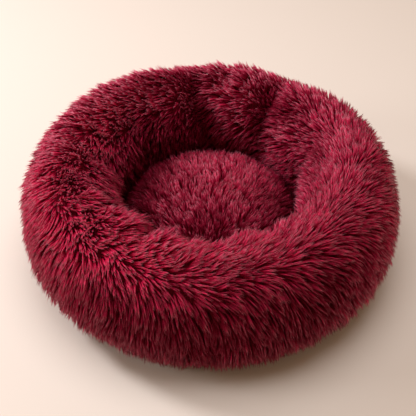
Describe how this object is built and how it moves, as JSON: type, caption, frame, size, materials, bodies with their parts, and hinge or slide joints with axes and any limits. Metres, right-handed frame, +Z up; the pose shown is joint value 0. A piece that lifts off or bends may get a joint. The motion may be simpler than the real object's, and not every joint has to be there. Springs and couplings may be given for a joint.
{
  "type": "pet bed",
  "caption": "Round donut pet bed: a stuffed long-pile plush ring on a cloth base, with a lift-out domed cushion in the nest and a zip low at the back.",
  "frame": {"origin": "on the floor under the middle of the bed, at the bottom centre of its bounding box", "axes": "+Z up; -Y towards the side the picture is taken from; +Y towards the zip, low at the back"},
  "size_m": [0.5989, 0.5967, 0.1999],
  "materials": {
    "plush": "long-pile plush, wine red",
    "lining_cloth": "non-woven lining cloth, natural",
    "wadding": "polyester fibre filling",
    "base_cloth": "coated woven cloth with grip dots",
    "zip_cloth": "woven polyester tape, wine red",
    "zip_nylon": "coiled nylon, satin",
    "zip_metal": "die-cast zinc, dark nickel plate"
  },
  "bodies": {
    "bed": {"ring_cover": "plush", "ring_liner": "lining_cloth", "ring_filling": "wadding", "base_cloth": "base_cloth", "base_binding": "zip_cloth", "zip_tape_lower": "zip_cloth", "zip_tape_upper": "zip_cloth", "zip_teeth_lower": "zip_nylon", "zip_teeth_upper": "zip_nylon", "zip_top_stop_lower": "zip_metal", "zip_top_stop_upper": "zip_metal", "zip_bottom_stop": "zip_metal"},
    "cushion": {"cushion_cover": "plush", "cushion_underside": "lining_cloth", "cushion_filling": "wadding"},
    "slider": {"zip_slider": "zip_metal"},
    "pull": {"zip_pull": "zip_metal"}
  },
  "joints": [
    {"name": "cushion_lift", "type": "slide", "parent": "bed", "child": "cushion", "axis": [0, 0, 1], "range_m": [0, 0.22]},
    {"name": "zip_slide", "type": "hinge", "parent": "bed", "child": "slider", "pos_m": [0, 0, 0], "axis": [0, 0, 1], "range_deg": [0, 105.8]},
    {"name": "pull_swing", "type": "hinge", "parent": "slider", "child": "pull", "pos_m": [0.22221, 0.16778, 0.02511], "axis": [-0.3136, -0.2368, -0.9196], "range_deg": [0, 165]}
  ]
}
